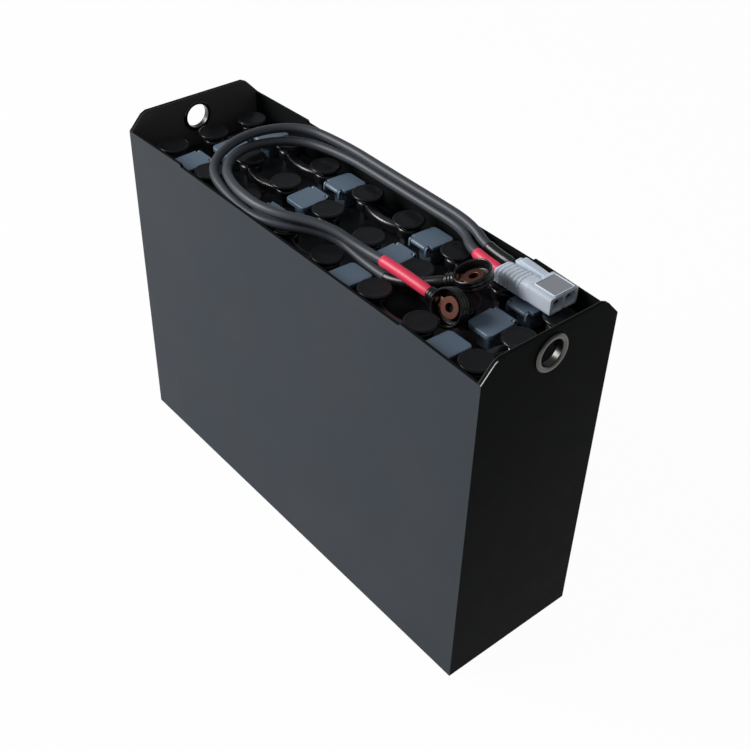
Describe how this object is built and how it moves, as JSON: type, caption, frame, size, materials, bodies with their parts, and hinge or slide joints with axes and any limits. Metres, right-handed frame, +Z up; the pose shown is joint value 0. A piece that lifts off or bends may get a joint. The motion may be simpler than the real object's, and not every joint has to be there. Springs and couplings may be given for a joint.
{
  "type": "forklift traction battery",
  "caption": "Lead-acid traction battery in a black steel tray, with bolted links, flip-lid vents and a charging lead.",
  "frame": {"origin": "middle of the tray's underside", "axes": "+X along the long walls to the end where the plug lies, +Y across to the back wall, +Z up"},
  "size_m": [0.656, 0.198, 0.4759],
  "materials": {
    "tray_paint": "satin black powder coat",
    "plated_steel": "bright zinc plate",
    "board_plastic": "matt",
    "cell_plastic": "semi-matt moulded polypropylene",
    "lead": "dull cast lead",
    "separator_sheet": "microporous sheet",
    "vent_plastic": "grey-blue moulded plastic",
    "link_rubber": "glossy moulded insulation",
    "screw_steel": "plated",
    "cap_plastic": "matt moulded",
    "cable_jacket": "satin rubber jacket",
    "red_sleeve": "heat-shrink, satin",
    "black_sleeve": "heat-shrink, satin",
    "copper": "bare copper",
    "boot_rubber": "glossy moulded rubber",
    "plug_plastic": "moulded grey plastic"
  },
  "bodies": {
    "battery": {"tray": "tray_paint", "lifting_rings": "plated_steel", "front_packing": "board_plastic", "back_packing": "board_plastic", "cell_covers": "cell_plastic", "positive_plates": "lead", "negative_plates": "lead", "separators": "separator_sheet", "vent_plugs": "vent_plastic", "cell_links": "link_rubber", "pole_screws": "screw_steel", "end_pole_washers": "lead", "screw_caps": "cap_plastic", "positive_cable": "cable_jacket", "negative_cable": "cable_jacket", "positive_lug_sleeve": "red_sleeve", "positive_plug_sleeve": "red_sleeve", "negative_lug_sleeve": "black_sleeve", "negative_plug_sleeve": "black_sleeve", "positive_lug": "copper", "negative_lug": "copper", "positive_boot": "boot_rubber", "negative_boot": "boot_rubber", "plug_housing": "plug_plastic", "plug_contacts": "copper", "cell_jar_front_1": "cell_plastic", "cell_jar_front_2": "cell_plastic", "cell_jar_front_3": "cell_plastic", "cell_jar_front_4": "cell_plastic", "cell_jar_middle_1": "cell_plastic", "cell_jar_middle_2": "cell_plastic", "cell_jar_middle_3": "cell_plastic", "cell_jar_middle_4": "cell_plastic", "cell_jar_back_1": "cell_plastic", "cell_jar_back_2": "cell_plastic", "cell_jar_back_3": "cell_plastic", "cell_jar_back_4": "cell_plastic"},
    "vent_lid_front_1": {"vent_lid_front_1": "vent_plastic"},
    "vent_lid_front_2": {"vent_lid_front_2": "vent_plastic"},
    "vent_lid_front_3": {"vent_lid_front_3": "vent_plastic"},
    "vent_lid_front_4": {"vent_lid_front_4": "vent_plastic"},
    "vent_lid_middle_1": {"vent_lid_middle_1": "vent_plastic"},
    "vent_lid_middle_2": {"vent_lid_middle_2": "vent_plastic"},
    "vent_lid_middle_3": {"vent_lid_middle_3": "vent_plastic"},
    "vent_lid_middle_4": {"vent_lid_middle_4": "vent_plastic"},
    "vent_lid_back_1": {"vent_lid_back_1": "vent_plastic"},
    "vent_lid_back_2": {"vent_lid_back_2": "vent_plastic"},
    "vent_lid_back_3": {"vent_lid_back_3": "vent_plastic"},
    "vent_lid_back_4": {"vent_lid_back_4": "vent_plastic"}
  },
  "joints": [
    {"name": "lid_hinge_front_1", "type": "hinge", "parent": "battery", "child": "vent_lid_front_1", "pos_m": [-0.24, -0.0403, 0.4328], "axis": [-1, 0, 0], "range_deg": [0, 90]},
    {"name": "lid_hinge_front_2", "type": "hinge", "parent": "battery", "child": "vent_lid_front_2", "pos_m": [-0.08, -0.0403, 0.4328], "axis": [-1, 0, 0], "range_deg": [0, 90]},
    {"name": "lid_hinge_front_3", "type": "hinge", "parent": "battery", "child": "vent_lid_front_3", "pos_m": [0.08, -0.0823, 0.4328], "axis": [1, 0, 0], "range_deg": [0, 90]},
    {"name": "lid_hinge_front_4", "type": "hinge", "parent": "battery", "child": "vent_lid_front_4", "pos_m": [0.24, -0.0823, 0.4328], "axis": [1, 0, 0], "range_deg": [0, 90]},
    {"name": "lid_hinge_middle_1", "type": "hinge", "parent": "battery", "child": "vent_lid_middle_1", "pos_m": [-0.24, 0.021, 0.4328], "axis": [-1, 0, 0], "range_deg": [0, 90]},
    {"name": "lid_hinge_middle_2", "type": "hinge", "parent": "battery", "child": "vent_lid_middle_2", "pos_m": [-0.08, 0.021, 0.4328], "axis": [-1, 0, 0], "range_deg": [0, 90]},
    {"name": "lid_hinge_middle_3", "type": "hinge", "parent": "battery", "child": "vent_lid_middle_3", "pos_m": [0.08, 0.021, 0.4328], "axis": [-1, 0, 0], "range_deg": [0, 90]},
    {"name": "lid_hinge_middle_4", "type": "hinge", "parent": "battery", "child": "vent_lid_middle_4", "pos_m": [0.24, 0.021, 0.4328], "axis": [-1, 0, 0], "range_deg": [0, 90]},
    {"name": "lid_hinge_back_1", "type": "hinge", "parent": "battery", "child": "vent_lid_back_1", "pos_m": [-0.24, 0.0403, 0.4328], "axis": [1, 0, 0], "range_deg": [0, 90]},
    {"name": "lid_hinge_back_2", "type": "hinge", "parent": "battery", "child": "vent_lid_back_2", "pos_m": [-0.08, 0.0403, 0.4328], "axis": [1, 0, 0], "range_deg": [0, 90]},
    {"name": "lid_hinge_back_3", "type": "hinge", "parent": "battery", "child": "vent_lid_back_3", "pos_m": [0.08, 0.0403, 0.4328], "axis": [1, 0, 0], "range_deg": [0, 90]},
    {"name": "lid_hinge_back_4", "type": "hinge", "parent": "battery", "child": "vent_lid_back_4", "pos_m": [0.24, 0.0403, 0.4328], "axis": [1, 0, 0], "range_deg": [0, 5]}
  ]
}
